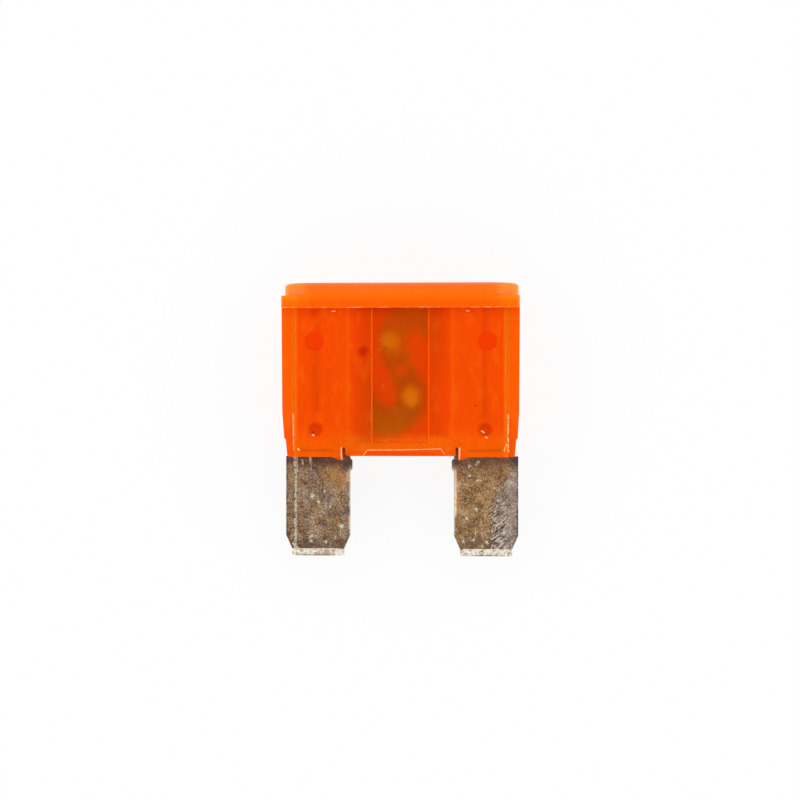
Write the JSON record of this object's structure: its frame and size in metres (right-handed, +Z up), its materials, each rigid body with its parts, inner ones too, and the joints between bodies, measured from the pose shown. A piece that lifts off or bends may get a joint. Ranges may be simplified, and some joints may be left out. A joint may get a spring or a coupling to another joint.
{
  "type": "blade fuse",
  "caption": "Large plug-in fuse with two flat blades, a stamped S-shaped fuse link seen through a translucent orange housing, lying on its back.",
  "frame": {"origin": "centre of the whole object's box at the surface it lies on", "axes": "+X across both blades, +Y from the blade tips to the crown, +Z up through the front of the fuse, which lies on its back"},
  "size_m": [0.0294, 0.034, 0.009],
  "materials": {
    "orange_plastic": "clear orange moulding, glossy, lightly scratched",
    "strip_metal": "tin plating browned by heat, scratched, bare at the tips"
  },
  "bodies": {
    "root": {"housing": "orange_plastic", "fuse_element": "strip_metal"}
  },
  "joints": []
}
